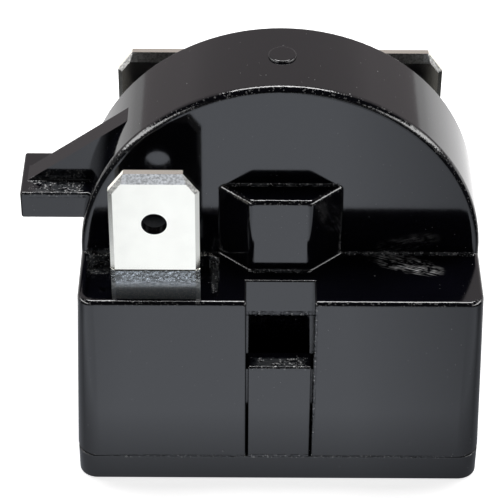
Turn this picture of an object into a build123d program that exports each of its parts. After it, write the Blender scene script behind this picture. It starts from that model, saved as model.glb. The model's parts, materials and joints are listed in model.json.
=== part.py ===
from build123d import *
import os
from math import radians, sqrt, tan

# Start relay of a refrigerator compressor. Millimetres, +Z up, the front faces -Y.
# The origin is at the middle of the base cover's underside.

# Block and base cover
ledge_width = 28.8            # across the block at its ledges
ledge_depth = 19.0            # front to back at the ledges
wall_height = 14.4            # block side, from the base cover to the ledges
wall_draft = 2.1              # degrees, the block widens downwards
corner_radius = 1.2           # upright corners, at the ledges
rim_radius = 0.36             # rounded edge around the ledges
wall = 1.3                    # side walls
ceiling_thickness = 2.6       # below the ledges
cover_thickness = 2.3
cover_inset = 0.05            # the cover's side stands this far inside the block's
cover_corner_radius = 1.4
cover_edge_radius = 0.12      # lower edge of the cover
parting_radius = 0.1          # edges of block and cover where they meet
lip_height = 1.2              # rim of the cover that locates it in the block
lip_thickness = 0.7
fit_gap = 0.15                # between pieces that slide into each other

# Dome
dome_radius = 14.4
dome_depth = 7.7              # front face to back face
dome_wall = 1.4
dome_edge_radius = 0.52       # front edge
dome_back_edge_radius = 0.12
pip_radius = 1.0
pip_height = 0.18
pip_edge_radius = 0.15
pip_y = 0.2                   # behind the dome's middle

# Boss on the dome's front
boss_root_width = 8.8
boss_nose_width = 4.3
boss_reach = 2.05
boss_height = 6.2
boss_edge_radius = 0.4
boss_corner_radius = 0.75     # upright corners of the nose
boss_seam_radius = 0.15       # inner corner between the boss's top and the dome
foot_radius = 0.15            # inner corner where the dome and the boss rise from the ledge

# Side lug and its web
lug_reach = 4.35              # beyond the dome's side
lug_depth = 5.05
lug_y = 0.32                  # the lug's middle, behind the dome's
lug_thickness = 2.25
lug_lift = 1.85               # lug underside above the ledges
lug_edge_radius = 0.2
web_thickness = 1.65
web_y = 0.18                  # the web's middle, behind the dome's
web_setback = 0.45            # from the lug's end to the web's toe
web_foot_radius = 0.16
web_top = 9.4                 # where the web's edge meets the dome, above the ledges

# Latch channels and tongues, one in front and one behind
channel_width = 4.85
channel_depth = 2.5
channel_wall = 1.0
catch_depth = 0.9             # the catch recess goes this much deeper than the channel
catch_wall = 0.9
channel_edge_radius = 0.2     # upright edges of the channel
ledge_edge_radius = 0.15      # edges of the channel and of the pockets in the ledge
catch_edge_radius = 0.3
catch_top = 3.4               # below the ledges
catch_sill = 8.4              # below the ledges
tongue_top = 5.9              # below the ledges
tongue_thickness = 1.6
tongue_setback = 0.08         # tongue's face behind the block's face
tongue_edge_radius = 0.2
tongue_side_radius = 0.12     # upright edges of the tongue's face
barb_reach = 0.6              # hook beyond the channel's back wall
barb_height = 1.6

# Blade tabs
tab_width = 6.3
tab_thickness = 0.8
tab_spacing = 17.7            # between the left and right blades
tab_setback = 1.57            # from the block's edge to the blade's outer face
tab_height = 9.98             # above the ledges
tab_hole_radius = 0.9
tab_hole_drop = 4.2           # below the tip
tip_slope_across = 1.1        # slanted tip corners
tip_slope_down = 1.5
tip_bevel_depth = 0.16        # coined tip bevel
tip_bevel_length = 0.78
side_bevel_depth = 0.18       # coined side bevel
side_bevel_width = 0.3

# Pockets around the blades
pocket_wall = 0.55            # to the block's side and front
pocket_boss_gap = 0.05        # from the boss's root to the pockets
pocket_dome_gap = 0.25        # strip of ledge left at the dome's foot
pocket_sink = 1.1
pocket_radius = 0.7
nub_radius = 0.35
nub_height = 0.25
nub_gap = 0.6                 # from the blade's side to the nub's centre

# Compressor pins and the sockets that grip them
pin_radius = 1.15
pin_spread = 11.0             # between the rear pins; all three stand 11 mm from each other
front_pin_inset = 6.05        # behind the block's front, at the ledges
rear_pin_inset = 3.42         # before the block's back, at the ledges
sleeve_wall = 0.5
sleeve_seat = 0.7             # the sleeve's foot sits this deep in the cover
sleeve_slit = 0.4
sleeve_lead = 0.17            # bevel at the sleeve's mouth
sleeve_cap = 0.8              # solid end above the bore
neck_radius = 0.7             # tenon riveted over on the strip
flange_radius = 1.1
flange_thickness = 0.3
clip_wall = 0.25
clip_height = 2.6
clip_lift = 1.9               # above the cover's plate
clip_gap = 0.8
clip_clearance = 0.05
pin_hole_radius = 1.45
pin_lead = 0.5

# Thermistor disc and its springs
disc_thickness = 2.5
disc_lift = 3.4               # disc's centre above the ledges
disc_headroom = 0.5           # between the disc and the dome above it
disc_edge = 0.25
disc_gap = 0.4                # from the disc's rim to the ribs beside it
rib_thickness = 1.0
spring_thickness = 0.3
spring_width = 10.0
spring_fingers = 3
finger_width = 2.4
finger_height = 12.0
finger_pitch = 3.8
crossbar_height = 2.6
cradle_width = 6.0            # rib of the cover that the disc's rim sits on
cradle_thickness = 1.2        # it stands behind the disc's middle, clear of the front socket
cradle_rise = 0.5             # cradle's horns above the disc's lowest point, beyond the fit
spring_gap = 0.03             # left open at each touch of a spring

# Terminal strips inside the block
strip_drop = 6.1              # strip's top below the ledges
strip_margin = 1.6            # strip left around a socket's centre
bend_radius = 0.6
chamber_drop = 4.4            # chamber wall's lower edge below the ledges
stop_length = 2.0
stop_width = 1.0
post_radius = 1.1
tail_reach = 2.0
tail_gap = 0.1                # from the tail to a socket's flange and to a strip's stop
rivet_radius = 0.6
rivet_head_radius = 0.9
rivet_head = 0.45

# Levels and places worked out from the sizes above
ledge_z = cover_thickness + wall_height
ceiling_z = ledge_z - ceiling_thickness
flare = wall_height * tan(radians(wall_draft))
foot_width = ledge_width + 2 * flare
foot_depth = ledge_depth + 2 * flare
tab_x = tab_spacing / 2
tab_face_y = ledge_depth / 2 - tab_setback
tab_mid_y = tab_face_y - tab_thickness / 2
tip_z = ledge_z + tab_height
strip_top = ledge_z - strip_drop
strip_z = strip_top - tab_thickness
blade_foot_z = strip_z + bend_radius
bar_z = strip_top + flange_thickness + fit_gap
finger_z = bar_z + crossbar_height
disc_z = ledge_z + disc_lift
disc_radius = dome_radius - dome_wall - disc_lift - disc_headroom
front_pin_y = front_pin_inset - ledge_depth / 2
rear_pin_y = ledge_depth / 2 - rear_pin_inset
sleeve_radius = pin_radius + sleeve_wall
sleeve_foot_z = cover_thickness - sleeve_seat
channel_back = ledge_depth / 2 - channel_depth
chamber_half = dome_depth / 2 - dome_wall
pocket_outer_x = ledge_width / 2 - pocket_wall
pocket_inner_x = boss_root_width / 2 + pocket_boss_gap
pocket_width = pocket_outer_x - pocket_inner_x
pocket_x = (pocket_outer_x + pocket_inner_x) / 2
pocket_depth = ledge_depth / 2 - pocket_wall - dome_depth / 2 - pocket_dome_gap
pocket_y = dome_depth / 2 + pocket_dome_gap + pocket_depth / 2
post_x = tab_x + tab_width / 2 - post_radius - fit_gap
post_y = (tab_face_y + chamber_half) / 2
tail_inner_x = pin_spread / 2 + flange_radius + tail_gap
tail_outer_x = post_x - stop_length / 2 - tail_gap
tail_x = -(tail_inner_x + tail_outer_x) / 2
tail_end_y = chamber_half + tail_reach
rivet_y = (chamber_half + tail_end_y) / 2
tongue_z = ledge_z - tongue_top
sill_z = ledge_z - catch_sill
spring_back = chamber_half - spring_gap
spring_face = spring_back - spring_thickness
spring_touch = disc_thickness / 2 + spring_gap
buried = 1.0                  # how far a joined form runs into what carries it
tiny = 0.001

# Side of the block, -1 in front and 1 behind
FRONT = -1
REAR = 1
blade_places = {
    "front_terminal": (-tab_x, FRONT),
    "rear_left_terminal": (-tab_x, REAR),
    "rear_right_terminal": (tab_x, REAR),
}
pin_places = {
    "front": (0.0, front_pin_y),
    "rear_left": (-pin_spread / 2, rear_pin_y),
    "rear_right": (pin_spread / 2, rear_pin_y),
}


def block_between(x0, x1, y0, y1, z0, z1, mode=Mode.ADD):
    """Upright box between two corners, to be placed inside a part block."""
    with Locations(((x0 + x1) / 2, (y0 + y1) / 2, (z0 + z1) / 2)):
        Box(abs(x1 - x0), abs(y1 - y0), abs(z1 - z0), mode=mode)


def half_disc(radius, foot):
    """Upright half disc above the ledges, with a foot that runs down below them."""
    with BuildSketch(Plane.XZ) as face:
        with BuildLine():
            ThreePointArc((-radius, ledge_z), (0, ledge_z + radius), (radius, ledge_z))
            Polyline(
                (radius, ledge_z),
                (radius, ledge_z - foot),
                (-radius, ledge_z - foot),
                (-radius, ledge_z),
            )
        make_face()
    return face.sketch


def level_edges(builder, z):
    """Edges of a part that lie level at one height."""
    flat = builder.edges().filter_by(lambda e: e.bounding_box().size.Z < tiny)
    return flat.filter_by(lambda e: abs(e.center().Z - z) < tiny)


def upright_edges(builder, least):
    """Long edges that run up the side of a part, upright or leaning with its draft."""
    return builder.edges().filter_by(lambda e: e.bounding_box().size.Z > least)


def in_channel(edge):
    """An edge of a latch channel, seen from above."""
    return abs(edge.center().X) < channel_width / 2 + tiny and abs(edge.center().Y) > channel_back - tiny


def around_pocket(edge):
    """An edge of a blade's pocket, seen from above."""
    across = abs(abs(edge.center().X) - pocket_x) < pocket_width / 2 + tiny
    return across and abs(abs(edge.center().Y) - pocket_y) < pocket_depth / 2 + tiny


def at_dome_foot(edge):
    """An edge where the dome or its boss rises from the ledge."""
    beyond = abs(edge.center().Y) - dome_depth / 2
    on_boss = beyond > -tiny and edge.center().Y < 0 and abs(edge.center().X) < boss_root_width / 2
    return on_boss and beyond < boss_reach + tiny or abs(beyond) < tiny


# The dome, with its rounded front and back edges
with BuildPart() as dome_form:
    extrude(half_disc(dome_radius, buried), amount=dome_depth / 2, both=True)
    arches = dome_form.faces().filter_by(Axis.Y).edges().filter_by(GeomType.CIRCLE).sort_by(Axis.Y)
    fillet(arches[0], dome_edge_radius)
    fillet(arches[-1], dome_back_edge_radius)

# The boss: a prism that narrows towards the front, with rounded edges
with BuildPart() as boss_form:
    boss_nose_y = -dome_depth / 2 - boss_reach
    with BuildSketch(Plane.XY.offset(ledge_z - buried / 2)):
        with BuildLine():
            Polyline(
                (-boss_root_width / 2, -dome_depth / 2 + buried),
                (-boss_root_width / 2, -dome_depth / 2),
                (-boss_nose_width / 2, boss_nose_y),
                (boss_nose_width / 2, boss_nose_y),
                (boss_root_width / 2, -dome_depth / 2),
                (boss_root_width / 2, -dome_depth / 2 + buried),
                close=True,
            )
        make_face()
    extrude(amount=boss_height + buried / 2)
    fillet(boss_form.edges().filter_by(Axis.Z).group_by(Axis.Y)[0], boss_corner_radius)
    crown = boss_form.faces().sort_by(Axis.Z)[-1]
    fillet(crown.edges().filter_by(lambda e: e.center().Y < -dome_depth / 2 - tiny), boss_edge_radius)

# The side lug, a level plate, and the slanted web that braces it against the dome
with BuildPart() as lug_form:
    lug_z = ledge_z + lug_lift
    lug_end = -dome_radius - lug_reach
    lug_root_x = -dome_radius + dome_wall
    lug_front_y = lug_y - lug_depth / 2
    lug_back_y = lug_y + lug_depth / 2
    block_between(lug_end, lug_root_x, lug_front_y, lug_back_y, lug_z, lug_z + lug_thickness)
    fillet(lug_form.edges().filter_by(lambda e: e.center().X < lug_root_x - tiny), lug_edge_radius)
with BuildPart() as web_form:
    web_foot_z = lug_z + lug_thickness
    web_head_x = -sqrt(dome_radius**2 - web_top**2)
    with BuildSketch(Plane.XZ.offset(-web_y)):
        with BuildLine():
            Polyline(
                (lug_end + web_setback, web_foot_z - lug_thickness / 2),
                (lug_end + web_setback, web_foot_z),
                (web_head_x, ledge_z + web_top),
                (web_head_x + dome_wall / 2, ledge_z + web_top - dome_wall / 2),
                (lug_root_x, web_foot_z - lug_thickness / 2),
                close=True,
            )
        make_face()
    extrude(amount=web_thickness / 2, both=True)

# Everything that is hollow inside the housing
with BuildPart() as inner_space:
    with BuildSketch(Plane.XY.offset(cover_thickness)):
        RectangleRounded(foot_width - 2 * wall, foot_depth - 2 * wall, corner_radius)
    extrude(amount=ceiling_z - cover_thickness, taper=wall_draft)
    extrude(half_disc(dome_radius - dome_wall, ceiling_thickness), amount=chamber_half, both=True)
    chamber_low = ledge_z - chamber_drop
    chamber_end = disc_radius + disc_gap + rib_thickness
    half_box = channel_width / 2 + channel_wall
    catch_low = ledge_z - catch_sill - catch_wall
    for side in (FRONT, REAR):
        outside = side * foot_depth / 2
        # the latch channel's own walls, thicker behind the catch recess
        box_back = side * (channel_back - channel_wall)
        catch_back = side * (channel_back - catch_depth - catch_wall)
        block_between(-half_box, half_box, box_back, outside, cover_thickness, ceiling_z, Mode.SUBTRACT)
        block_between(-half_box, half_box, catch_back, outside, catch_low, ceiling_z, Mode.SUBTRACT)
        # chamber wall that keeps a contact spring against the disc
        wall_inside = side * chamber_half
        wall_outside = side * (chamber_half + dome_wall)
        chamber_span = (-chamber_end, chamber_end, wall_inside, wall_outside)
        block_between(*chamber_span, chamber_low, ceiling_z, Mode.SUBTRACT)
    # upright ribs that centre the disc, above the springs' crossbars
    for x in (-1, 1):
        rib_x = x * (disc_radius + disc_gap + rib_thickness / 2)
        with Locations((rib_x, 0, finger_z + fit_gap + dome_radius / 2)):
            Box(rib_thickness, 2 * chamber_half, dome_radius, mode=Mode.SUBTRACT)
    # stops that the terminal strips bear against from below
    for x, side in blade_places.values():
        outward = x / abs(x)
        with Locations((outward * post_x, side * post_y, (strip_top + ceiling_z) / 2)):
            Box(stop_length, stop_width, ceiling_z - strip_top, mode=Mode.SUBTRACT)

with BuildPart() as housing:
    with BuildSketch(Plane.XY.offset(cover_thickness)):
        RectangleRounded(foot_width, foot_depth, corner_radius + flare)
    extrude(amount=wall_height, taper=wall_draft)
    fillet(housing.faces().sort_by(Axis.Z)[-1].edges(), rim_radius)
    fillet(housing.faces().sort_by(Axis.Z)[0].edges(), parting_radius)
    add(dome_form.part)
    add(boss_form.part)
    add(lug_form.part)
    add(web_form.part)
    with Locations((0, pip_y, ledge_z + dome_radius - buried / 2 + pip_height / 2)):
        Cylinder(pip_radius, buried + pip_height)
    add(inner_space.part, mode=Mode.SUBTRACT)
    for side in (FRONT, REAR):
        with Locations((0, side * (channel_back + foot_depth / 4), (cover_thickness + ledge_z) / 2)):
            Box(channel_width, foot_depth / 2, wall_height + buried, mode=Mode.SUBTRACT)
        with Locations((0, side * (channel_back - catch_depth / 2), ledge_z - (catch_top + catch_sill) / 2)):
            Box(channel_width, catch_depth, catch_sill - catch_top, mode=Mode.SUBTRACT)
    for x, side in blade_places.values():
        outward = x / abs(x)
        with BuildSketch(Plane.XY.offset(ledge_z)):
            with Locations((outward * pocket_x, side * pocket_y)):
                RectangleRounded(pocket_width, pocket_depth, pocket_radius)
        extrude(amount=-pocket_sink, mode=Mode.SUBTRACT)
        with Locations((x, side * tab_mid_y, ledge_z - ceiling_thickness / 2)):
            Box(tab_width + fit_gap, tab_thickness + fit_gap, ceiling_thickness + buried, mode=Mode.SUBTRACT)
        with Locations((x + outward * (tab_width / 2 + nub_gap), side * pocket_y, ledge_z - pocket_sink)):
            Cylinder(nub_radius, 2 * nub_height)
    # roundings of the moulding, from the biggest to the smallest
    channel_uprights = upright_edges(housing, wall_height / 2).filter_by(
        lambda e: abs(abs(e.center().X) - channel_width / 2) < tiny
    )
    mouth_uprights = channel_uprights.filter_by(lambda e: abs(e.center().Y) > ledge_depth / 2)
    fillet(mouth_uprights, channel_edge_radius)
    catch_tops = level_edges(housing, ledge_z - catch_top)
    fillet(catch_tops.filter_by(lambda e: abs(abs(e.center().Y) - channel_back) < tiny), catch_edge_radius)
    ledge_edges = level_edges(housing, ledge_z)
    fillet(ledge_edges.filter_by(in_channel) + ledge_edges.filter_by(around_pocket), ledge_edge_radius)
    fillet(level_edges(housing, ledge_z).filter_by(at_dome_foot), foot_radius)
    fillet(level_edges(housing, ledge_z + boss_height).filter_by(at_dome_foot), boss_seam_radius)
    web_feet = level_edges(housing, web_foot_z)
    half_web = web_thickness / 2
    fillet(web_feet.filter_by(lambda e: abs(abs(e.center().Y - web_y) - half_web) < tiny), web_foot_radius)
    fillet(level_edges(housing, ledge_z + dome_radius + pip_height), pip_edge_radius)
housing.part.label = "housing"


def tongue_face_y(z):
    """Distance from the middle to the tongue's outer face, which leans like the block's wall."""
    return ledge_depth / 2 + (ledge_z - z) * tan(radians(wall_draft)) - tongue_setback


# A latch tongue with its hook, as the one behind the block stands
with BuildPart() as tongue_form:
    tongue_back = tongue_face_y(tongue_z) - tongue_thickness
    hook_z = sill_z + fit_gap
    hook_y = channel_back - barb_reach
    with BuildSketch(Plane.YZ):
        with BuildLine():
            Polyline(
                (tongue_face_y(cover_thickness), cover_thickness - buried),
                (tongue_face_y(cover_thickness), cover_thickness),
                (tongue_face_y(tongue_z), tongue_z),
                (tongue_back, tongue_z),
                (hook_y, hook_z + barb_height / 2),
                (hook_y, hook_z),
                (tongue_back, hook_z),
                (tongue_back, cover_thickness - buried),
                close=True,
            )
        make_face()
    extrude(amount=channel_width / 2 - fit_gap, both=True)
    tongue_crown = tongue_form.faces().sort_by(Axis.Z)[-1]
    fillet(tongue_crown.edges().sort_by(Axis.Y)[-1], tongue_edge_radius)
    tongue_uprights = upright_edges(tongue_form, barb_height)
    face_uprights = tongue_uprights.filter_by(lambda e: e.center().Y > tongue_back + tiny)
    fillet(face_uprights, tongue_side_radius)

with BuildPart() as base_cover:
    with BuildSketch():
        RectangleRounded(foot_width - 2 * cover_inset, foot_depth - 2 * cover_inset, cover_corner_radius)
    extrude(amount=cover_thickness)
    fillet(base_cover.faces().sort_by(Axis.Z)[0].edges(), cover_edge_radius)
    fillet(base_cover.faces().sort_by(Axis.Z)[-1].edges(), parting_radius)
    lip_width = foot_width - 2 * (wall + fit_gap)
    lip_depth = foot_depth - 2 * (wall + fit_gap)
    with BuildSketch(Plane.XY.offset(cover_thickness)):
        RectangleRounded(lip_width, lip_depth, corner_radius)
        lip_inner_width = lip_width - 2 * lip_thickness
        lip_inner_depth = lip_depth - 2 * lip_thickness
        RectangleRounded(lip_inner_width, lip_inner_depth, corner_radius / 2, mode=Mode.SUBTRACT)
    extrude(amount=lip_height)
    lip_opening = channel_width + 2 * (channel_wall + fit_gap)
    for side in (FRONT, REAR):
        # the lip stops beside the channel's walls
        with Locations((0, side * lip_depth / 2, cover_thickness + lip_height / 2)):
            Box(lip_opening, 2 * (lip_thickness + buried), lip_height, mode=Mode.SUBTRACT)
        add(tongue_form.part.rotate(Axis.Z, 90 * (1 - side)))
    # cradle under the disc
    disc_low = disc_z - disc_radius
    half_cradle = cradle_width / 2
    cradle_back = fit_gap + cradle_thickness
    cradle_top = disc_low + cradle_rise
    block_between(-half_cradle, half_cradle, fit_gap, cradle_back, cover_thickness, cradle_top)
    with Locations(Plane.XZ * Location((0, disc_z, 0))):
        Cylinder(disc_radius + fit_gap, 2 * (cradle_back + buried), mode=Mode.SUBTRACT)
    # posts under the terminal strips
    for x, side in blade_places.values():
        with Locations((x / abs(x) * post_x, side * post_y, (cover_thickness + strip_z) / 2)):
            Cylinder(post_radius, strip_z - cover_thickness)
    for x, y in pin_places.values():
        with Locations((x, y, cover_thickness / 2)):
            Cylinder(pin_hole_radius, cover_thickness, mode=Mode.SUBTRACT)
        with Locations((x, y, cover_thickness - sleeve_seat / 2)):
            Cylinder(sleeve_radius + fit_gap, sleeve_seat, mode=Mode.SUBTRACT)
        with Locations((x, y, pin_lead / 2)):
            Cone(pin_hole_radius + pin_lead, pin_hole_radius, pin_lead, mode=Mode.SUBTRACT)
base_cover.part.label = "base_cover"

with BuildPart() as ptc_disc:
    with BuildSketch(Plane.XZ):
        with Locations((0, disc_z)):
            Circle(disc_radius)
    extrude(amount=disc_thickness / 2, both=True)
    chamfer(ptc_disc.edges().filter_by(GeomType.CIRCLE), disc_edge)
ptc_disc.part.label = "ptc_disc"


def contact_spring(side):
    """Leaf spring: arched fingers on a crossbar, with a tail that lies on the terminal strip."""
    middle_z = finger_z + finger_height / 2
    finger_top = finger_z + finger_height
    back_touch = spring_touch + spring_thickness
    tail_sides = (-tail_outer_x, -tail_inner_x)
    tail_top = strip_top + spring_thickness
    with BuildPart() as spring:
        block_between(-tail_outer_x, spring_width / 2, spring_face, spring_back, bar_z, finger_z)
        block_between(*tail_sides, spring_face, spring_back, strip_top, finger_z)
        block_between(*tail_sides, spring_face, tail_end_y, strip_top, tail_top)
        for place in range(spring_fingers):
            x = (place - (spring_fingers - 1) / 2) * finger_pitch
            with BuildSketch(Plane.YZ.offset(x)):
                with BuildLine():
                    face_top = (spring_face, finger_top)
                    ThreePointArc((spring_face, finger_z), (spring_touch, middle_z), face_top)
                    Line(face_top, (spring_back, finger_top))
                    ThreePointArc((spring_back, finger_top), (back_touch, middle_z), (spring_back, finger_z))
                    Line((spring_back, finger_z), (spring_face, finger_z))
                make_face()
            extrude(amount=finger_width / 2, both=True)
        with Locations((tail_x, rivet_y, strip_top)):
            Cylinder(rivet_radius, spring_thickness + buried, mode=Mode.SUBTRACT)
    return spring.part if side == REAR else mirror(spring.part, about=Plane.XZ)


def blade(x, side):
    """Upright blade tab: slanted tip corners, a coined tip and coined sides, and its hole."""
    half = tab_width / 2
    mid = side * tab_mid_y
    thick = tab_thickness / 2
    tip_thick = thick - tip_bevel_depth
    flank = thick - side_bevel_depth
    with BuildPart() as tab:
        with BuildSketch(Plane.XZ.offset(-mid)):
            with BuildLine():
                Polyline(
                    (x - half, blade_foot_z),
                    (x + half, blade_foot_z),
                    (x + half, tip_z - tip_slope_down),
                    (x + half - tip_slope_across, tip_z),
                    (x - half + tip_slope_across, tip_z),
                    (x - half, tip_z - tip_slope_down),
                    close=True,
                )
            make_face()
            with Locations((x, tip_z - tab_hole_drop)):
                Circle(tab_hole_radius, mode=Mode.SUBTRACT)
        extrude(amount=thick, both=True)
        with BuildSketch(Plane.YZ.offset(x)):
            with BuildLine():
                Polyline(
                    (mid - thick, blade_foot_z),
                    (mid + thick, blade_foot_z),
                    (mid + thick, tip_z - tip_bevel_length),
                    (mid + tip_thick, tip_z),
                    (mid - tip_thick, tip_z),
                    (mid - thick, tip_z - tip_bevel_length),
                    close=True,
                )
            make_face()
        extrude(amount=half, both=True, mode=Mode.INTERSECT)
        with BuildSketch(Plane.XY.offset(blade_foot_z)):
            with BuildLine():
                Polyline(
                    (x - half, mid - flank),
                    (x - half + side_bevel_width, mid - thick),
                    (x + half - side_bevel_width, mid - thick),
                    (x + half, mid - flank),
                    (x + half, mid + flank),
                    (x + half - side_bevel_width, mid + thick),
                    (x - half + side_bevel_width, mid + thick),
                    (x - half, mid + flank),
                    close=True,
                )
            make_face()
        extrude(amount=tip_z - blade_foot_z, mode=Mode.INTERSECT)
    # the slanted corners are bevelled like the sides
    bevelled = tab.part
    for corner in (-1, 1):
        for face in (-1, 1):
            lean = Vector(corner * tip_slope_down, 0, tip_slope_across).normalized()
            cut_face = lean * side_bevel_depth + Vector(0, face * side_bevel_width, 0)
            cut_place = (x + corner * half, mid + face * flank, tip_z - tip_slope_down)
            bevelled = split(bevelled, bisect_by=Plane(cut_place, z_dir=cut_face), keep=Keep.BOTTOM)
    return bevelled


def terminal(x, side, pin, has_spring):
    """Brass strip: the blade, a level foot, and an arm that reaches the pin socket."""
    pin_x, pin_y = pin
    foot_reach = abs(pin_y) - strip_margin
    if has_spring:
        # this foot also runs in under the spring's tail
        foot_reach = min(foot_reach, abs(front_pin_y) - strip_margin)
    arm_end = pin_x + (strip_margin if pin_x > x else -strip_margin)
    arm_sides = (pin_y - strip_margin, pin_y + strip_margin)
    upright = blade(x, side)
    with BuildPart() as strip:
        foot_sides = (x - tab_width / 2, x + tab_width / 2)
        block_between(*foot_sides, side * foot_reach, side * tab_face_y, strip_z, strip_top)
        block_between(x, arm_end, *arm_sides, strip_z, strip_top)
        bend = strip.edges().filter_by(Axis.X).group_by(Axis.Z)[0].sort_by(Axis.Y)
        fillet(bend[0] if side == FRONT else bend[-1], bend_radius)
        add(upright)
        with Locations((pin_x, pin_y, strip_z)):
            Cylinder(neck_radius, 2 * tab_thickness + buried, mode=Mode.SUBTRACT)
        if has_spring:
            with Locations((tail_x, side * rivet_y, strip_z)):
                Cylinder(rivet_radius, 2 * tab_thickness + buried, mode=Mode.SUBTRACT)
    return strip.part


def pin_socket(x, y):
    """Slit sleeve with a solid cap and a tenon riveted over on the terminal strip."""
    bore_top = strip_z - sleeve_cap
    with BuildPart() as socket:
        with BuildSketch(Plane.XZ) as section:
            with BuildLine():
                Polyline(
                    (pin_radius + sleeve_lead, sleeve_foot_z),
                    (sleeve_radius, sleeve_foot_z),
                    (sleeve_radius, strip_z),
                    (neck_radius, strip_z),
                    (neck_radius, strip_top),
                    (flange_radius, strip_top),
                    (flange_radius, strip_top + flange_thickness / 2),
                    (neck_radius, strip_top + flange_thickness),
                    (0, strip_top + flange_thickness),
                    (0, bore_top),
                    (pin_radius, bore_top),
                    (pin_radius, sleeve_foot_z + sleeve_lead),
                    close=True,
                )
            make_face()
        revolve(axis=Axis.Z)
        with Locations((0, sleeve_radius, (sleeve_foot_z + bore_top) / 2)):
            Box(sleeve_slit, 2 * sleeve_radius, bore_top - sleeve_foot_z, mode=Mode.SUBTRACT)
    return socket.part.moved(Location((x, y, 0)))


def socket_clip(x, y):
    """Split spring ring around a socket's sleeve, its gap away from the sleeve's slit."""
    inner = sleeve_radius + clip_clearance
    with BuildPart() as ring:
        with BuildSketch(Plane.XY.offset(cover_thickness + clip_lift)):
            Circle(inner + clip_wall)
            Circle(inner, mode=Mode.SUBTRACT)
            with Locations((0, -inner)):
                Rectangle(clip_gap, 2 * inner, mode=Mode.SUBTRACT)
        extrude(amount=clip_height)
    return ring.part.moved(Location((x, y, 0)))


with BuildPart() as spring_rivets:
    for side in (FRONT, REAR):
        joint_top = strip_top + spring_thickness
        block = (tail_x, side * rivet_y)
        with Locations((*block, (strip_z + joint_top) / 2)):
            Cylinder(rivet_radius, joint_top - strip_z)
        for low in (strip_z - rivet_head, joint_top):
            with Locations((*block, low + rivet_head / 2)):
                Cylinder(rivet_head_radius, rivet_head)
spring_rivets.part.label = "spring_rivets"

loose_pieces = []
for name, side in (("front_contact_spring", FRONT), ("rear_contact_spring", REAR)):
    spring_part = contact_spring(side)
    spring_part.label = name
    loose_pieces.append(spring_part)
for (name, (x, side)), pin in zip(blade_places.items(), pin_places.values()):
    strip_part = terminal(x, side, pin, has_spring=x < 0)
    strip_part.label = name
    loose_pieces.append(strip_part)
for name, (x, y) in pin_places.items():
    socket_part = pin_socket(x, y)
    socket_part.label = name + "_pin_socket"
    clip_part = socket_clip(x, y)
    clip_part.label = name + "_socket_clip"
    loose_pieces += [socket_part, clip_part]

os.makedirs("parts", exist_ok=True)
export_step(housing.part, "parts/housing.step")
export_step(base_cover.part, "parts/base_cover.step")
export_step(ptc_disc.part, "parts/ptc_disc.step")
export_step(spring_rivets.part, "parts/spring_rivets.step")
for piece in loose_pieces:
    export_step(piece, "parts/" + piece.label + ".step")
for piece in [housing.part, base_cover.part, ptc_disc.part, spring_rivets.part] + loose_pieces:
    print(piece.label, len(piece.solids()), piece.is_valid, round(piece.volume, 2))
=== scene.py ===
# %% [markdown]
# The start relay of a refrigerator compressor: a glossy black block with a half-round dome,
# a lug, a snapped-in cover and three tinned blades. The CAD model gives every solid in its
# place, in metres, with +Z up and the front facing -Y. This lesson adds the finishes, the
# small marks of moulding and stamping, and the light.
# %% The frame
import json
from math import cos, pi, sin

import bmesh
import bpy
import numpy as np
from mathutils import Matrix, Vector


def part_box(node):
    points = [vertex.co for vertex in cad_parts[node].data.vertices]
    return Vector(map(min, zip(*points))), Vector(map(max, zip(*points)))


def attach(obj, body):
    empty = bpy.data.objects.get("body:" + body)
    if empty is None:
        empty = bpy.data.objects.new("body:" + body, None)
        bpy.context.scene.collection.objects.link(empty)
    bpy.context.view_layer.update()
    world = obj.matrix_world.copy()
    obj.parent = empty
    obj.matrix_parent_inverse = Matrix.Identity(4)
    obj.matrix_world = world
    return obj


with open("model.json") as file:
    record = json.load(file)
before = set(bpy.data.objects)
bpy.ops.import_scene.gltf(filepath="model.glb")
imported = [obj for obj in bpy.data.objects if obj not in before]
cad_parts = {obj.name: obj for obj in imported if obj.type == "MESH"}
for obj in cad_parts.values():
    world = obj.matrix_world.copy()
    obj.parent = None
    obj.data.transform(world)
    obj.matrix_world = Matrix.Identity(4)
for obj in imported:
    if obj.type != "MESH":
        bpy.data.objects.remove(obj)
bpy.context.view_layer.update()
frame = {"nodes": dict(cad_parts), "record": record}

mm = 0.001
print("pieces from the CAD model:", len(frame["nodes"]))

# %% [markdown]
# The camera stands in front of the relay and looks down on it. A long lens at a short
# distance keeps the edges almost parallel, as in a catalogue picture. Its place and its
# three angles were found by matching the block's corners.
# %% The camera
picture_pixels = 500
focal_pixels = 2168.7
sensor_mm = 36.0
camera_place = Vector((-2.534, -126.553, 114.632)) * mm
# Three angles in radians: down from level, to the right of +Y, and about the line of sight.
camera_dip = 0.6721
camera_turn = 0.0029
camera_roll = -0.0068

forward = Vector((
    sin(camera_turn) * cos(camera_dip),
    cos(camera_turn) * cos(camera_dip),
    -sin(camera_dip),
))
level_right = Vector((cos(camera_turn), -sin(camera_turn), 0))
level_down = forward.cross(level_right)
right = cos(camera_roll) * level_right + sin(camera_roll) * level_down
down = cos(camera_roll) * level_down - sin(camera_roll) * level_right
camera_data = bpy.data.cameras.new("camera")
camera_data.sensor_width = sensor_mm
camera_data.lens = sensor_mm * focal_pixels / picture_pixels
camera_data.clip_start = mm
camera = bpy.data.objects.new("camera", camera_data)
camera_turned = Matrix((right, -down, -forward)).transposed().to_4x4()
camera.matrix_world = Matrix.Translation(camera_place) @ camera_turned
bpy.context.scene.collection.objects.link(camera)
bpy.context.scene.camera = camera
print("lens", round(camera_data.lens, 1), "mm")

# %% [markdown]
# Materials are small graphs of nodes. One helper adds a node and joins its inputs, and a
# few more name the steps that come back: a sum, a range, a blend, a grey.
# %% Helpers for nodes


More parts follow.
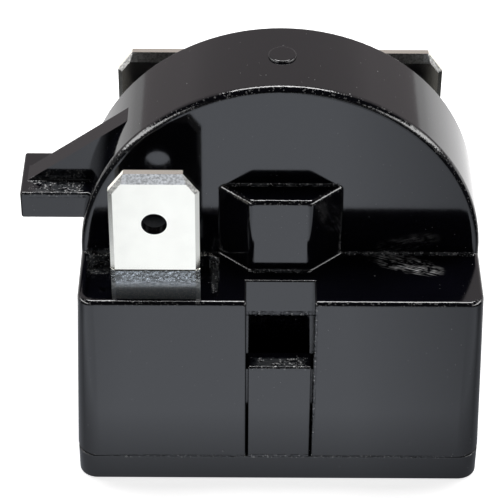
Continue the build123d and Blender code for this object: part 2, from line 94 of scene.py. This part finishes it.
def add_node(tree, kind, inputs=None, **settings):
    """A node of one kind, with its settings, and inputs given as values or linked sockets."""
    made = tree.nodes.new(kind)
    for name, value in settings.items():
        setattr(made, name, value)
    for name, value in (inputs or {}).items():
        socket = made.inputs[name]
        if isinstance(value, bpy.types.NodeSocket):
            tree.links.new(value, socket)
        else:
            socket.default_value = value
    return made


def maths(tree, operation, first, second=0.0):
    """One operation on two numbers."""
    return add_node(tree, "ShaderNodeMath", {0: first, 1: second}, operation=operation).outputs[0]


def remap(tree, value, from_low, from_high, to_low=0.0, to_high=1.0):
    """A number moved from one range to another, and kept inside it."""
    inputs = {"Value": value, "From Min": from_low, "From Max": from_high}
    inputs.update({"To Min": to_low, "To Max": to_high})
    return add_node(tree, "ShaderNodeMapRange", inputs).outputs["Result"]


def blend(tree, factor, first, second):
    """Two colours blended by a factor."""
    made = add_node(tree, "ShaderNodeMix", {0: factor, 6: first, 7: second}, data_type="RGBA")
    return made.outputs[2]


def grey(level, tint=(1.0, 1.0, 1.0)):
    """A grey of one level, tinted."""
    return (level * tint[0], level * tint[1], level * tint[2], 1.0)


def tinted(tree, level, tint):
    """A level made into a tinted colour."""
    parts = {0: tint, "Scale": level}
    return add_node(tree, "ShaderNodeVectorMath", parts, operation="SCALE").outputs[0]


def apart(tree, vector):
    """The three parts of a vector, by the names X, Y and Z."""
    return add_node(tree, "ShaderNodeSeparateXYZ", {0: vector}).outputs


def new_material(name):
    """A fresh material and its parts: the material, its tree and its shader."""
    made = bpy.data.materials.new(name)
    made.use_nodes = True
    return made, made.node_tree, made.node_tree.nodes["Principled BSDF"]


def join_shader(tree, shader, linked, constant=None):
    """Joins sockets to the shader's inputs, and sets other inputs to constant values."""
    for name, socket in linked.items():
        tree.links.new(socket, shader.inputs[name])
    for name, value in (constant or {}).items():
        shader.inputs[name].default_value = value


# %% [markdown]
# All patterns read Object coordinates, which are metres here, so a scale of 1000 is one
# cell per mm. The same helpers then serve every material, with sizes given in mm.
# %% Helpers for patterns


def object_place(tree, stretch=(1.0, 1.0, 1.0), centre=(0.0, 0.0, 0.0)):
    """Object coordinates, measured from a centre in mm and stretched along the axes."""
    place = add_node(tree, "ShaderNodeTexCoord").outputs["Object"]
    inputs = {"Vector": place, "Scale": stretch}
    inputs["Location"] = [-c * mm * s for c, s in zip(centre, stretch)]
    return add_node(tree, "ShaderNodeMapping", inputs).outputs["Vector"]


def noise(tree, place, per_mm, detail=2.0):
    """A cloudy pattern from 0 to 1 with so many cells to the millimetre."""
    inputs = {"Vector": place, "Scale": per_mm / mm, "Detail": detail}
    return add_node(tree, "ShaderNodeTexNoise", inputs).outputs[0]


def specks(tree, place, per_mm, radius, share):
    """Round specks: 1 inside, 0 outside.

    There are so many cells to the mm. Each draws whether it has a speck, by the share of
    cells that have one, and its radius, from a third of the one given to all of it.
    """
    inputs = {"Vector": place, "Scale": per_mm / mm}
    cells = add_node(tree, "ShaderNodeTexVoronoi", inputs)
    draw = add_node(tree, "ShaderNodeSeparateColor", {0: cells.outputs["Color"]})
    size = remap(tree, draw.outputs[1], 0.0, 1.0, radius / 3, radius)
    inside = maths(tree, "LESS_THAN", cells.outputs["Distance"], size)
    drawn = maths(tree, "LESS_THAN", draw.outputs[0], share)
    return maths(tree, "MULTIPLY", inside, drawn)


def inside_box(tree, centre, half, soft=0.7):
    """1 inside a box given in mm by its centre and half sizes, 0 outside, soft at the sides."""
    place = object_place(tree, [1 / (h * mm) for h in half], centre)
    side = add_node(tree, "ShaderNodeVectorMath", {0: place}, operation="ABSOLUTE").outputs[0]
    parts = apart(tree, side)
    reach = maths(tree, "MAXIMUM", maths(tree, "MAXIMUM", parts["X"], parts["Y"]), parts["Z"])
    return remap(tree, reach, 1.0, soft)


# %% [markdown]
# Wear sits where a surface turns. A rounded edge is found by the direction of its normal,
# so that it can be given a grain and a roughness of its own, and on the moulding painted glints.
# %% Helpers for surfaces
# Parts of a normal along Z at which a rounded edge starts to count and counts in full.
edge_rise = (0.06, 0.16)


def relief(tree, height, depth_mm, normal=None):
    """A bump in which a height of 1 stands for a depth in mm, laid over another one."""
    inputs = {"Height": height, "Distance": depth_mm * mm, "Strength": 1.0}
    if normal is not None:
        inputs["Normal"] = normal
    return add_node(tree, "ShaderNodeBump", inputs).outputs["Normal"]


def roughened(tree, rough, spots):
    """The roughness raised to a level of its own in each spot: pairs of mask and level."""
    for mask, level in spots:
        rough = maths(tree, "MAXIMUM", rough, maths(tree, "MULTIPLY", mask, level))
    return rough


def facing_parts(tree):
    """The parts of the face's own direction."""
    return apart(tree, add_node(tree, "ShaderNodeNewGeometry").outputs["Normal"])


def front_edge(tree, low, high):
    """Where the surface rolls from the front face to another one.

    With n the part of the normal along Y, |n| sqrt(1 - n^2) is 0 on the flat front and on
    the faces square to it, and 0.5 halfway round the rounded edge between them. Upright
    faces set at a slant, such as the boss's sides, are left out by their level normals.
    The mask rises from 0 where that product is low to 1 where it is high.
    """
    facing = facing_parts(tree)
    squared = maths(tree, "MULTIPLY", facing["Y"], facing["Y"])
    product = maths(tree, "MULTIPLY", squared, maths(tree, "SUBTRACT", 1.0, squared))
    turn = maths(tree, "SQRT", maths(tree, "MAXIMUM", product, 0.0))
    rising = remap(tree, maths(tree, "ABSOLUTE", facing["Z"]), *edge_rise)
    return maths(tree, "MULTIPLY", remap(tree, turn, low, high), rising)


# %% [markdown]
# The block and the cover are moulded from glass-filled polyester, black and almost mirror
# smooth. Such a black shows nearly nothing of its own colour: what the eye reads is the
# room in it, so the gloss and its small faults are the whole finish. Three of the faults
# are marks with a place: skin that is frosted and sparkles where the tool is worn or the
# flash was torn off, with a painted cool sheen and painted glints, dust on what faces up,
# and a feather-shaped scuff on the front ledge.
# A name that ends in per_mm counts the cells of a noise. Depths and places are in mm. A
# set of specks is given by its cells per mm, its largest radius in cells and the share of
# the cells that have one.
# %% Marks on the moulding
ragged_per_mm = 2.0
ragged_range = (0.36, 0.5)
big_dust = (0.9, 0.055, 0.4)
small_dust = (2.4, 0.08, 0.35)
dust_settling = (-0.2, 0.7, 0.5, 1.0)

scuff_centre = (9.0, -5.0, 16.7)
scuff_half = (3.1, 1.1, 0.6)
scuff_angle = 0.33
scuff_fade = (1.0, 0.5)
streak_stretch = (0.12, 1.7, 1.0)
streaks_per_mm = 5.5
streak_range = (0.48, 0.56)
torn_per_mm = 1.3
torn_range = (0.4, 0.65)

# Boxes by centre and half sizes.
frosted_spots = {
    "lug's front strip": ((-16.1, -1.45, 20.8), (2.1, 0.85, 0.4)),
    "left pocket": ((-13.05, -4.3, 16.2), (0.95, 0.7, 0.95)),
    "inner pocket wall": ((-4.65, -5.5, 16.2), (0.35, 1.6, 0.9)),
    "seam at the dome's foot": ((9.0, -3.93, 16.76), (5.6, 0.14, 0.14)),
    "seam at the boss's foot": ((0.0, -5.95, 16.75), (2.1, 0.16, 0.16)),
    "ledge nub": ((-12.67, -7.9, 16.7), (0.3, 0.25, 0.4)),
    "ledge nick": ((-12.6, -8.9, 16.7), (0.9, 0.1, 0.3)),
    "seam over the boss": ((0.0, -3.93, 22.93), (4.3, 0.12, 0.12)),
    "catch's upper edge": ((0.0, -7.0, 13.5), (2.4, 0.4, 0.4)),
    "tongue's top": ((0.0, -9.1, 10.8), (2.2, 0.6, 0.25)),
    "channel's right edge": ((2.45, -9.6, 10.0), (0.2, 0.4, 7.0)),
    "parting line": ((0.0, -9.7, 2.3), (14.5, 0.6, 0.16)),
}


def worn_mask(tree):
    """Where the skin is worn and takes a painted sheen: inside any of the frosted spots, with a
    ragged outline.
    """
    mask = 0.0
    for centre, half in frosted_spots.values():
        mask = maths(tree, "MAXIMUM", mask, inside_box(tree, centre, half))
    clouds = noise(tree, object_place(tree), ragged_per_mm, detail=3.0)
    ragged = remap(tree, clouds, *ragged_range)
    return maths(tree, "MULTIPLY", mask, ragged)


def dust_mask(tree, place):
    """Where a grain of dust lies, most of all on what faces up."""
    both = maths(tree, "MAXIMUM", specks(tree, place, *big_dust), specks(tree, place, *small_dust))
    settled = remap(tree, facing_parts(tree)["Z"], *dust_settling)
    return maths(tree, "MULTIPLY", both, settled)


def scuff_mark(tree):
    """Where the ledge is scuffed: a soft oval filled with streaks along one direction."""
    turn = {"Vector": object_place(tree, centre=scuff_centre), "Rotation": (0, 0, scuff_angle)}
    place = add_node(tree, "ShaderNodeMapping", turn).outputs["Vector"]
    oval = {"Vector": place, "Scale": [1 / (h * mm) for h in scuff_half]}
    oval_place = add_node(tree, "ShaderNodeMapping", oval).outputs["Vector"]
    reach = add_node(tree, "ShaderNodeVectorMath", {0: oval_place}, operation="LENGTH")
    inside = remap(tree, reach.outputs["Value"], *scuff_fade)
    long = add_node(tree, "ShaderNodeMapping", {"Vector": place, "Scale": streak_stretch})
    streaks = noise(tree, long.outputs["Vector"], streaks_per_mm, detail=3.0)
    torn = remap(tree, noise(tree, place, torn_per_mm), *torn_range)
    strokes = maths(tree, "MULTIPLY", remap(tree, streaks, *streak_range), torn)
    return maths(tree, "MULTIPLY", inside, strokes)


# %% [markdown]
# The rest is in the skin itself: the faint waviness of the tool's polish, an orange-peel
# grain, and a coarser one that breaks the light on every rounded edge and in the frosted
# spots. Most of a noise lies in the range called middle_noise.
# %% Glossy black moulding
black_tint = (1.0, 1.0, 2.0)
black_low = 0.0012
black_high = 0.0024
tone_per_mm = 0.35
gloss_index = 1.5
gloss_level = 0.85
gloss_rough = (0.075, 0.115)
middle_noise = (0.3, 0.7)
wave_per_mm = 0.6
wave_depth = 0.0016
peel_per_mm = 5.0
peel_depth = 0.0002

frosted_edge = (0.1, 0.35)
edge_frost = 0.25
frost_rough = 0.32
frost_depth = 0.04
ripple_per_mm = 2.5
grain_per_mm = 5.0
# Grey specks in the frosted skin and on edges are painted glints; the worn spots' cool grey is
# partly wear, partly painted sheen.
painted_glints_in_frost = (6.0, 0.5, 0.45)
painted_glint_level = 0.5
worn_and_sheen_level = 0.028
worn_and_sheen_tint = (0.9, 1.0, 1.15)
dust_level = 0.3
dust_rough = 0.8
scuff_level = 0.95
scuff_rough = 0.4


def gloss_moulding(name):
    """Glossy black thermoset with polish waves, grainy edges, worn spots with a painted sheen,
    painted glints, dust and scuff.
    """
    made, tree, shader = new_material(name)
    place = object_place(tree)
    peel = noise(tree, place, peel_per_mm, detail=3.0)
    dust = dust_mask(tree, place)
    scuff = scuff_mark(tree)
    worn = worn_mask(tree)
    edge = maths(tree, "MULTIPLY", front_edge(tree, *frosted_edge), edge_frost)
    frost = maths(tree, "MAXIMUM", edge, worn)
    painted_glints = maths(tree, "MULTIPLY", specks(tree, place, *painted_glints_in_frost), frost)

    tone = noise(tree, place, tone_per_mm, detail=3.0)
    colour = blend(tree, tone, grey(black_low, black_tint), grey(black_high, black_tint))
    # Worn spots take a cool grey that is partly painted sheen, and frosted skin and edges take grey
    # specks as painted glints.
    colour = blend(tree, worn, colour, grey(worn_and_sheen_level, worn_and_sheen_tint))
    colour = blend(tree, dust, colour, grey(dust_level))
    colour = blend(tree, painted_glints, colour, grey(painted_glint_level))
    colour = blend(tree, scuff, colour, grey(scuff_level))
    rough = remap(tree, peel, *middle_noise, *gloss_rough)
    spots = ((frost, frost_rough), (scuff, scuff_rough), (dust, dust_rough))
    rough = roughened(tree, rough, spots)

    surface = relief(tree, noise(tree, place, wave_per_mm, detail=1.0), wave_depth)
    surface = relief(tree, peel, peel_depth, surface)
    for per_mm, detail in ((ripple_per_mm, 1.0), (grain_per_mm, 2.0)):
        frosted = maths(tree, "MULTIPLY", noise(tree, place, per_mm, detail), frost)
        surface = relief(tree, frosted, frost_depth, surface)
    linked = {"Base Color": colour, "Roughness": rough, "Normal": surface}
    join_shader(tree, shader, linked, {"IOR": gloss_index, "Specular IOR Level": gloss_level})
    return made


# %% [markdown]
# The blades are stamped from brass strip and tin plated. Tin is a bright, slightly blurred
# mirror with a creamy cast. It keeps the rolling lines of the strip, and the coined bevels
# have a rough, sparkling grain where the punch crushed the metal. The foot of a blade was
# worked over too when the strip was formed: it has the same coarse grain and leans back a
# little, so it mirrors the far floor. It is also darkened with painted shade where it goes
# down into the pocket. Its deepest part faces the black wall of the pocket, and there the
# tin is painted a pale grey that is hardly metal, as painted light in place of the black
# it would mirror.
# %% Tin plate
tin_tint = (1.01, 0.98, 0.87)
tin_high = 0.99
tin_low = 0.95
tin_rough = (0.12, 0.2)
tin_tone_per_mm = 0.8
rolling_stretch = (1.0, 1.0, 0.06)
rolling_per_mm = 14.0
rolling_depth = 0.0006
tin_grain_per_mm = 14.0
tin_grain_depth = 0.0028
tin_pits = (5.0, 0.12, 0.25)
pit_level = 0.4

crushed_bevel = (0.1, 0.2)
bevel_share = 0.8
bevel_rough = 0.35
crushed_low = 0.45
crushed_high = 0.85
lumps_per_mm = 6.0
lump_range = (0.42, 0.58)
coarse_per_mm = 4.5
coarse_depth = 0.03

# Heights in metres between which the foot and its deepest part set in, from above.
foot_band = (0.01845, 0.0183)
deep_band = (0.0176, 0.0167)
# The foot's darker colours are painted shade; the deep part's pale grey is painted light.
foot_shade_share = 0.9
foot_painted_tint = (0.86, 0.94, 1.0)
foot_shade_low = 0.16
foot_shade_high = 0.85
foot_rough = 0.22
foot_lean = 0.33
foot_lumps = 0.45
grains_in_foot = (7.0, 0.5, 0.4)
deep_painted_grey_low = 0.75
deep_painted_grey_high = 1.0
deep_metal = 0.1

# The locking holes through the three blades, as boxes around them. Their walls are painted dark as
# shade.
hole_height = 22.48
hole_half = (1.05, 0.6, 1.05)
hole_places = ((-8.85, -7.5), (-8.85, 7.5), (8.85, 7.5))
hole_soft = 0.95
hole_turn = (0.5, 0.3)
hole_shade_level = 0.06


def hole_shade_mask(tree):
    """The walls of the blades' locking holes, where shade is painted: near a hole and not facing
    front or back.
    """
    across = maths(tree, "ABSOLUTE", facing_parts(tree)["Y"])
    near = 0.0
    for x, y in hole_places:
        box = inside_box(tree, (x, y, hole_height), hole_half, hole_soft)
        near = maths(tree, "MAXIMUM", near, box)
    return maths(tree, "MULTIPLY", near, remap(tree, across, *hole_turn))


def tin_plate(name):
    """Tin on rolled brass: rolling lines, pits, a coarse grain on bevels and foot, painted shade on
    the foot and a painted pale grey in its deepest part.
    """
    made, tree, shader = new_material(name)
    place = object_place(tree)
    height = apart(tree, place)["Z"]
    tone = noise(tree, place, tin_tone_per_mm, detail=3.0)
    pits = specks(tree, place, *tin_pits)
    lumps = remap(tree, noise(tree, place, lumps_per_mm, detail=3.0), *lump_range)
    bevel = front_edge(tree, *crushed_bevel)
    foot = remap(tree, height, *foot_band)
    deep = remap(tree, height, *deep_band)
    bright_grains = specks(tree, place, *grains_in_foot)
    sprinkled = maths(tree, "MAXIMUM", maths(tree, "MULTIPLY", lumps, foot_lumps), bright_grains)

    colour = blend(tree, tone, grey(tin_high, tin_tint), grey(tin_low, tin_tint))
    colour = blend(tree, pits, colour, grey(pit_level, tin_tint))
    crushed = blend(tree, lumps, grey(crushed_low), grey(crushed_high))
    colour = blend(tree, maths(tree, "MULTIPLY", bevel, bevel_share), colour, crushed)
    # The foot is darkened as painted shade, and its deepest part painted a pale grey as painted
    # light.
    foot_shade_colour = blend(tree, sprinkled, grey(foot_shade_low, foot_painted_tint), grey(foot_shade_high, foot_painted_tint))
    colour = blend(tree, maths(tree, "MULTIPLY", foot, foot_shade_share), colour, foot_shade_colour)
    deep_painted_grey_colour = blend(tree, sprinkled, grey(deep_painted_grey_low, foot_painted_tint), grey(deep_painted_grey_high))
    colour = blend(tree, deep, colour, deep_painted_grey_colour)
    # The hole walls are painted dark: painted shade inside the holes.
    colour = blend(tree, hole_shade_mask(tree), colour, grey(hole_shade_level))
    rough = remap(tree, tone, *middle_noise, *tin_rough)
    rough = roughened(tree, rough, ((bevel, bevel_rough), (foot, foot_rough)))
    metal = remap(tree, deep, 0.0, 1.0, 1.0, deep_metal)

    rolling = noise(tree, object_place(tree, rolling_stretch), rolling_per_mm, detail=3.0)
    surface = relief(tree, rolling, rolling_depth)
    surface = relief(tree, noise(tree, place, tin_grain_per_mm), tin_grain_depth, surface)
    below = maths(tree, "MAXIMUM", maths(tree, "SUBTRACT", foot_band[0], height), 0.0)
    surface = relief(tree, maths(tree, "MULTIPLY", below, 1 / mm), foot_lean, surface)
    coarse = noise(tree, place, coarse_per_mm, detail=3.0)
    coarse = maths(tree, "MULTIPLY", coarse, maths(tree, "MAXIMUM", foot, bevel))
    surface = relief(tree, coarse, coarse_depth, surface)
    linked = {"Base Color": colour, "Roughness": rough, "Metallic": metal, "Normal": surface}
    join_shader(tree, shader, linked)
    return made


# %% [markdown]
# Inside are turned brass sleeves and rivets, bronze contact springs, blued steel clips and
# the grey thermistor disc. They are hardly ever seen, but each metal still gets its own
# colour and the marks of how it was made: rings from turning, lines from rolling.
# %% Inner metals and ceramic
turned = (0.15, 0.15, 1.0)
rolled = (1.0, 1.0, 0.05)
plain = (1.0, 1.0, 1.0)
brass = (grey(0.8, (1.0, 0.76, 0.42)), grey(0.55, (1.0, 0.7, 0.4)))
bronze = (grey(0.75, (1.0, 0.66, 0.45)), grey(0.5, (1.0, 0.6, 0.42)))
steel = (grey(0.5, (1.0, 1.0, 1.05)), grey(0.3, (0.9, 0.95, 1.1)))
silver = (grey(0.85, (1.0, 0.99, 0.96)), grey(0.6))
tarnish_per_mm = 0.5
tarnish_range = (0.3, 0.75)
tarnish_rough = 0.12

# Slot: name, bright and dark colour, stretch, lines per mm, their depth and roughness.
worked_metals = {
    "socket_brass": ("turned_brass", brass, turned, 12.0, 0.002, 0.22),
    "rivet_brass": ("headed_brass", brass, turned, 9.0, 0.002, 0.25),
    "spring_bronze": ("spring_bronze", bronze, rolled, 14.0, 0.001, 0.2),
    "clip_steel": ("blued_steel", steel, rolled, 14.0, 0.001, 0.3),
}
printed_silver = ("printed_silver", silver, plain, 10.0, 0.002, 0.4)

ceramic = (grey(0.1, (1.0, 0.94, 0.88)), grey(0.2, (1.0, 0.95, 0.9)))
ceramic_per_mm = 8.0
ceramic_depth = 0.01
ceramic_rough = 0.7
ceramic_pores = (6.0, 0.2, 0.4)
pore_level = 0.05


def worked_metal(name, colours, stretch, lines_per_mm, depth_mm, roughness):
    """A metal with stretched working lines and a tarnish that wanders between two colours."""
    made, tree, shader = new_material(name)
    lines = noise(tree, object_place(tree, stretch), lines_per_mm)
    tarnish = noise(tree, object_place(tree), tarnish_per_mm, detail=4.0)
    colour = blend(tree, remap(tree, tarnish, *tarnish_range), *colours)
    rough = remap(tree, tarnish, *middle_noise, roughness, roughness + tarnish_rough)
    linked = {"Base Color": colour, "Roughness": rough, "Normal": relief(tree, lines, depth_mm)}
    join_shader(tree, shader, linked, {"Metallic": 1.0})
    return made


def sintered_ceramic(name):
    """Fine-grained grey ceramic with darker pores."""
    made, tree, shader = new_material(name)
    place = object_place(tree)
    grain = noise(tree, place, ceramic_per_mm, detail=4.0)
    colour = blend(tree, grain, *ceramic)
    colour = blend(tree, specks(tree, place, *ceramic_pores), colour, grey(pore_level))
    linked = {"Base Color": colour, "Normal": relief(tree, grain, ceramic_depth)}
    join_shader(tree, shader, linked, {"Roughness": ceramic_rough})
    return made


finishes = {
    "housing_plastic": gloss_moulding("glossy_moulding_housing"),
    "cover_plastic": gloss_moulding("glossy_moulding_cover"),
    "tinned_brass": tin_plate("tin_plate"),
    "disc_ceramic": sintered_ceramic("sintered_ceramic"),
}
for slot, row in worked_metals.items():
    finishes[slot] = worked_metal(*row)
for entry in frame["record"]["subparts"]:
    node = frame["nodes"][entry["node"]]
    node.data.materials.clear()
    node.data.materials.append(finishes[entry["material_slot"]])
print("finishes:", ", ".join(finishes))

# %% [markdown]
# The thermistor disc carries a printed silver layer on each face, set back from the rim so
# that no current runs over the edge. A layer is a flat closed dish: a profile that runs
# from its underside round the rim to its top is turned about the disc's axis, and a cap
# closes each end.
# %% Silver layers of the disc
silver_margin = 0.7 * mm
silver_thickness = 0.015 * mm
silver_segments = 96
# Widths of the ring on the underside and of the sloping rim, and the places of the other
# rings on top as shares of the rim's radius.
silver_underside = 0.1 * mm
silver_slope = 0.05 * mm
silver_rings = (0.5, 0.02)


def add_mesh(name, points, faces, material):
    """A mesh piece from arrays of points and faces, riding on the relay."""
    mesh = bpy.data.meshes.new(name)
    mesh.from_pydata(points.tolist(), [], [list(face) for face in faces])
    mesh.update()
    mesh.materials.append(material)
    piece = bpy.data.objects.new(name, mesh)
    bpy.context.scene.collection.objects.link(piece)
    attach(piece, "root")
    return piece


def revolved_skin(profile, centre, segments):
    """Closed skin turned about an axis along Y: point = centre + r(cos a, 0, sin a) + (0, y, 0)."""
    angles = np.linspace(0, 2 * pi, segments, endpoint=False)
    radius, depth = profile[:, :1], profile[:, 1:]
    x = centre[0] + radius * np.cos(angles)
    z = centre[2] + radius * np.sin(angles)
    y = centre[1] + depth + 0 * angles
    points = np.stack([x, y, z], axis=-1).reshape(-1, 3)
    rows, columns = np.meshgrid(np.arange(len(profile) - 1), np.arange(segments), indexing="ij")
    here = rows * segments + columns
    beside = rows * segments + (columns + 1) % segments
    faces = np.stack([here, beside, beside + segments, here + segments], axis=-1).reshape(-1, 4)
    caps = [list(range(segments))[::-1], list(range(len(points) - segments, len(points)))]
    return points, faces.tolist() + caps


def turn_faces_out(piece):
    """Turns the piece's faces outwards."""
    work = bmesh.new()
    work.from_mesh(piece.data)
    bmesh.ops.recalc_face_normals(work, faces=work.faces)
    work.to_mesh(piece.data)
    work.free()


disc_low, disc_high = [np.array(corner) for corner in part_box("ptc_disc")]
disc_centre = (disc_low + disc_high) / 2
disc_radius = (disc_high[0] - disc_low[0]) / 2
rim = disc_radius - silver_margin
silver_finish = worked_metal(*printed_silver)
for name, side in (("front_silver_layer", -1), ("rear_silver_layer", 1)):
    face_y = side * (disc_high[1] - disc_low[1]) / 2
    top_y = face_y + side * silver_thickness
    profile = np.array([
        [rim - silver_underside, face_y],
        [rim, face_y],
        [rim - silver_slope, top_y],
        *[[rim * share, top_y] for share in silver_rings],
    ])
    points, faces = revolved_skin(profile, disc_centre, silver_segments)
    turn_faces_out(add_mesh(name, points, faces, silver_finish))
    print(name, "radius", round(rim / mm, 2), "mm")

# %% [markdown]
# The relay stands on a white floor. The floor is a plain pale surface that takes the
# lamp's light, with a glow of its own where the camera looks at it, so that it reads as
# white paper and still keeps the relay's shadow. In a mirror the floor has levels of its
# own, read off the relay's faces: dim at the relay's foot, where its shadow lies, white in
# front, darker out to the sides, and brightest behind. A fade is given by two places in
# metres and the levels there.
# %% The floor
floor_half = 3.0
floor_white = 0.9
camera_glow = 0.8
mirror_front = 1.05
front_tint = (0.95, 1.0, 1.1)
behind_tint = (1.0, 0.995, 1.0)
foot_fade = (-0.0096, -0.0183, 0.36, 1.0)
right_fade = (0.006, 0.0165, 1.0, 0.58)
left_fade = (-0.012, -0.0175, 1.0, 0.8)
aside_fade = (0.032, 0.045, 1.0, 0.06)
behind_start = (0.0, 0.02)
behind_fade = (0.06, 0.3, 1.35, 0.95)
behind_left = (-0.1, -0.02, 0.85, 1.0)

floor_corners = np.array([(-1, -1, 0), (1, -1, 0), (1, 1, 0), (-1, 1, 0)]) * floor_half
floor_mesh = bpy.data.meshes.new("floor")
floor_mesh.from_pydata(floor_corners.tolist(), [], [(0, 1, 2, 3)])
floor = bpy.data.objects.new("floor", floor_mesh)
bpy.context.scene.collection.objects.link(floor)

floor_material = bpy.data.materials.new("white_floor")
floor_material.use_nodes = True
tree = floor_material.node_tree
tree.nodes.clear()
ray = add_node(tree, "ShaderNodeLightPath").outputs
mirrored = maths(tree, "MAXIMUM", ray["Is Glossy Ray"], ray["Is Transmission Ray"])
spot = apart(tree, object_place(tree))

front_level = remap(tree, spot["X"], *right_fade)
for place, fade in (
    (spot["X"], left_fade),
    (maths(tree, "ABSOLUTE", spot["X"]), aside_fade),
    (spot["Y"], foot_fade),
):
    front_level = maths(tree, "MULTIPLY", front_level, remap(tree, place, *fade))
front_level = maths(tree, "MULTIPLY", front_level, mirror_front)
left_behind = remap(tree, spot["X"], *behind_left)
back_level = maths(tree, "MULTIPLY", remap(tree, spot["Y"], *behind_fade), left_behind)
front_colour = tinted(tree, front_level, front_tint)
back_colour = tinted(tree, back_level, behind_tint)
mirror_colour = blend(tree, remap(tree, spot["Y"], *behind_start), front_colour, back_colour)

paper = add_node(tree, "ShaderNodeBsdfDiffuse", {"Color": grey(floor_white)}).outputs[0]
to_camera = maths(tree, "MULTIPLY", ray["Is Camera Ray"], camera_glow)
shine = add_node(tree, "ShaderNodeEmission", {"Strength": to_camera}).outputs[0]
seen_floor = add_node(tree, "ShaderNodeAddShader", {0: paper, 1: shine}).outputs[0]
in_mirror = add_node(tree, "ShaderNodeEmission", {"Color": mirror_colour}).outputs[0]
both = add_node(tree, "ShaderNodeMixShader", {0: mirrored, 1: seen_floor, 2: in_mirror})
add_node(tree, "ShaderNodeOutputMaterial", {"Surface": both.outputs[0]})
floor_mesh.materials.append(floor_material)

# %% [markdown]
# A glossy black thing is lit by what it mirrors. Overhead hangs one long softbox, which
# draws the thin white lines on every rounded edge. The wall behind is a dim warm grey, a
# little uneven from floor to ceiling, and shows in all that faces up. The side of the room
# towards the camera is dark and draws the black bands beside those lines, and two pale
# side walls carry the line on down the dome's rim. All places in the room are parts of a
# line of sight whose length is 1.
# %% The room and the softbox
wall_steps = {0.0: 0.4, 0.07: 0.4, 0.19: 0.43, 0.31: 0.47, 0.42: 0.42, 0.57: 0.41, 0.7: 0.43}
wall_tint = (1.06, 0.98, 1.0)
wall_start = (0.0, 0.35)
dark_side_level = 0.02
dark_foot_level = 0.5
dark_side_fade = (0.0, 0.1, 1.0, 0.0)
side_wall_level = 0.5
side_mirror_level = 6.0
side_wall_turn = (0.45, 0.75)
side_wall_rise = (0.14, 0.2)
side_wall_end = (0.46, 0.38)

world = bpy.data.worlds.new("studio")
bpy.context.scene.world = world
world.use_nodes = True
tree = world.node_tree
tree.nodes.clear()
along = apart(tree, add_node(tree, "ShaderNodeTexCoord").outputs["Generated"])
ramp = add_node(tree, "ShaderNodeValToRGB", {0: along["Z"]})
steps = ramp.color_ramp.elements
while len(steps) < len(wall_steps):
    steps.new(0.5)
for step, (height, level) in zip(steps, wall_steps.items()):
    step.position = height
    step.color = grey(level, wall_tint)
foot_glow = remap(tree, along["Z"], *dark_side_fade)
dark = blend(tree, foot_glow, grey(dark_side_level), grey(dark_foot_level))
aside = remap(tree, maths(tree, "ABSOLUTE", along["X"]), *side_wall_turn)
above = remap(tree, along["Z"], *side_wall_rise)
below = remap(tree, along["Z"], *side_wall_end)
side = maths(tree, "MULTIPLY", aside, maths(tree, "MULTIPLY", above, below))
ray = add_node(tree, "ShaderNodeLightPath").outputs
side_wall = blend(tree, ray["Is Glossy Ray"], grey(side_wall_level), grey(side_mirror_level))
front_room = blend(tree, side, dark, side_wall)
behind = remap(tree, along["Y"], *wall_start)
room = blend(tree, behind, front_room, ramp.outputs["Color"])
seen = blend(tree, ray["Is Camera Ray"], room, grey(1.0))
background = add_node(tree, "ShaderNodeBackground", {"Color": seen, "Strength": 1.0}).outputs[0]
add_node(tree, "ShaderNodeOutputWorld", {"Surface": background})

softbox_size = (0.30, 0.10)
softbox_place = (0.0, 0.07, 0.36)
softbox_watts = 1.05
softbox_data = bpy.data.lights.new("softbox", "AREA")
softbox_data.shape = "RECTANGLE"
softbox_data.size, softbox_data.size_y = softbox_size
softbox_data.energy = softbox_watts
softbox = bpy.data.objects.new("softbox", softbox_data)
softbox.location = softbox_place
bpy.context.scene.collection.objects.link(softbox)
bpy.context.scene.view_settings.view_transform = "Standard"
